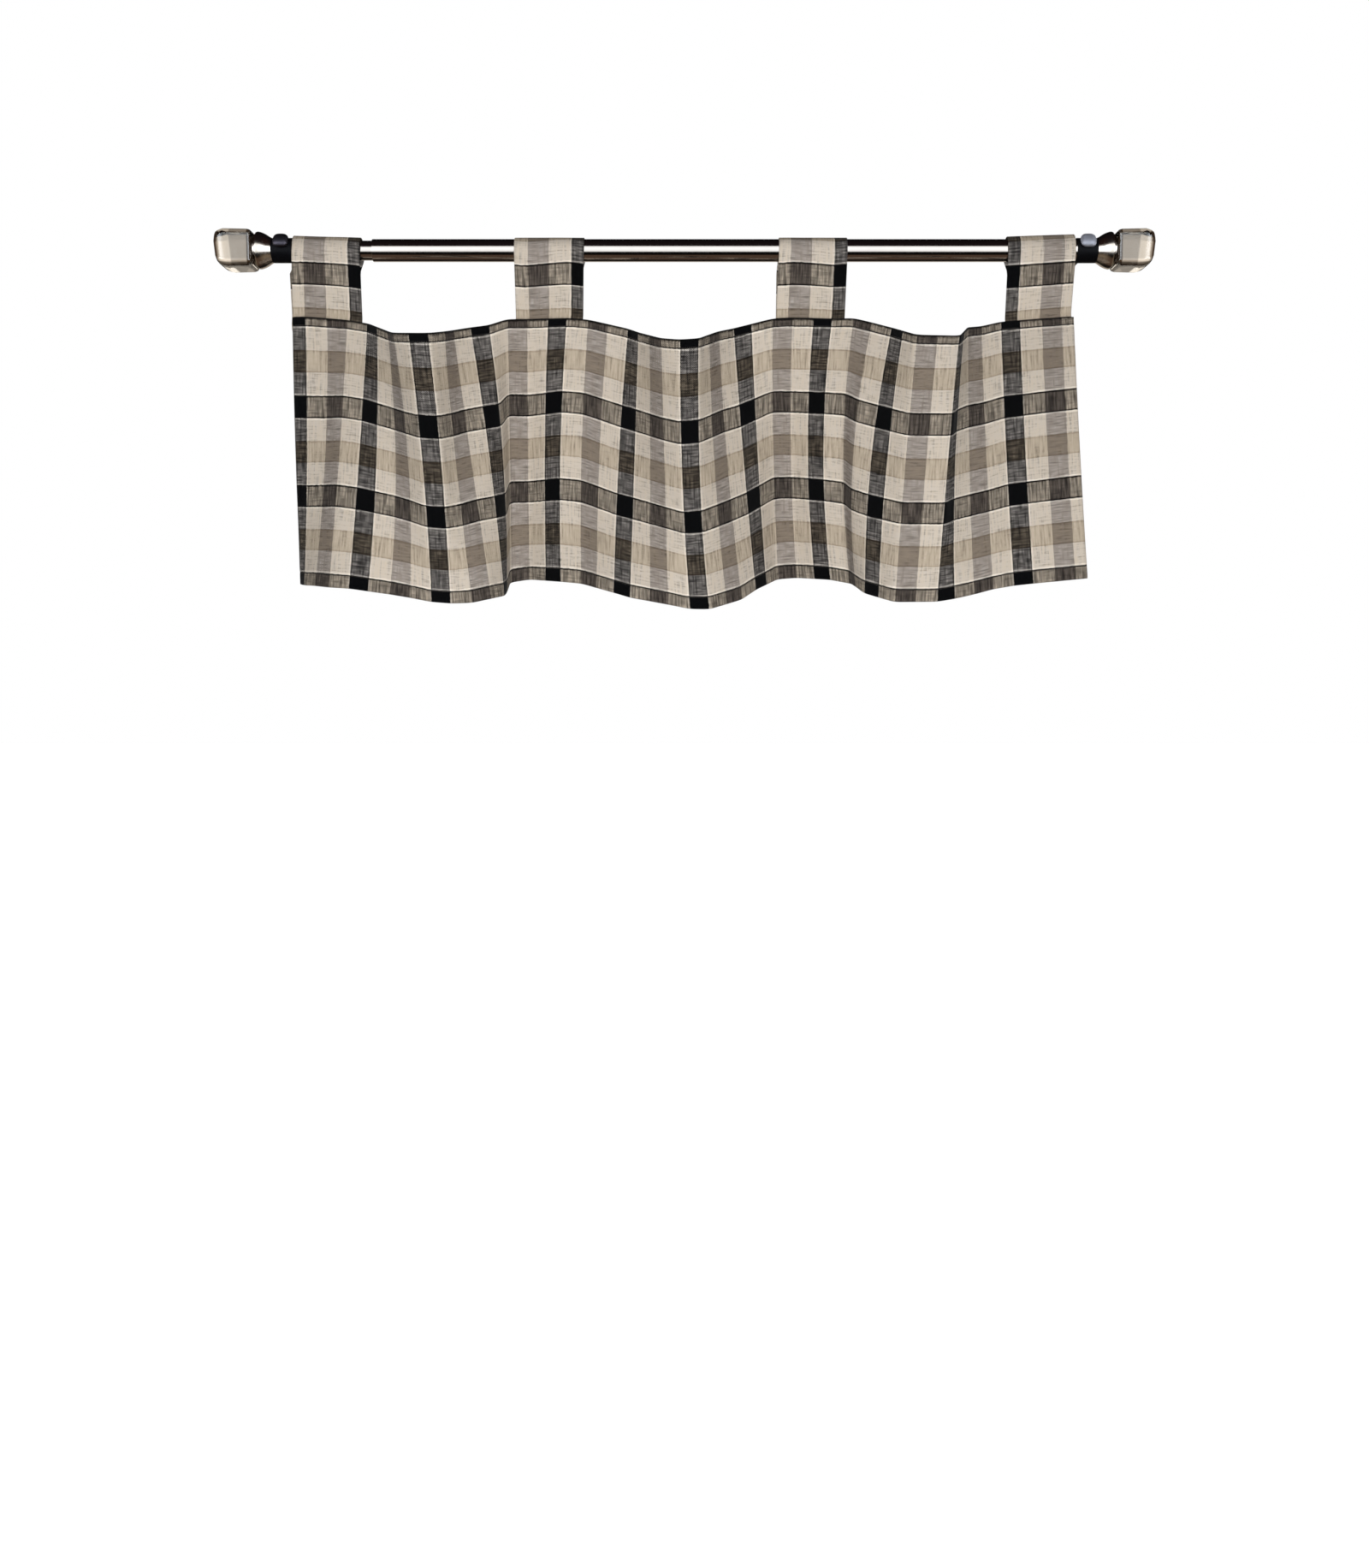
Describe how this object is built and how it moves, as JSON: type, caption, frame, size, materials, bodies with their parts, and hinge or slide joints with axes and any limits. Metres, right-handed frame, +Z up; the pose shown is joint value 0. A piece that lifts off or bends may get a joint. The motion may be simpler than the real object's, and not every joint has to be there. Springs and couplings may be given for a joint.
{
  "type": "tab top window valance on a curtain rod",
  "caption": "Plaid tab top window valance hanging in soft folds from a telescoping curtain rod with wall brackets and faceted clear finials.",
  "frame": {"origin": "on the wall plane, at the height of the rod's axis, midway between the two wall brackets", "axes": "+X along the rod to the right as seen from the room, +Y into the wall, +Z up"},
  "size_m": [1.2154, 0.1638, 0.4941],
  "materials": {
    "plaid_cloth": "woven plaid of cream, grey, tan and black",
    "polished_dark_metal": "polished, near black",
    "black_metal": "satin black",
    "grey_metal": "satin blue grey",
    "bronze_metal": "polished dark bronze",
    "clear_crystal": "clear, faceted"
  },
  "bodies": {
    "root": {"valance_panel": "plaid_cloth", "tab_1": "plaid_cloth", "tab_2": "plaid_cloth", "tab_3": "plaid_cloth", "tab_4": "plaid_cloth", "rod_outer_tube": "polished_dark_metal", "rod_inner_tube": "polished_dark_metal", "bracket_left": "black_metal", "bracket_right": "black_metal", "set_screw_left": "grey_metal", "set_screw_right": "grey_metal", "finial_collar_left": "bronze_metal", "finial_collar_right": "bronze_metal", "finial_crystal_left": "clear_crystal", "finial_crystal_right": "clear_crystal"}
  },
  "joints": []
}
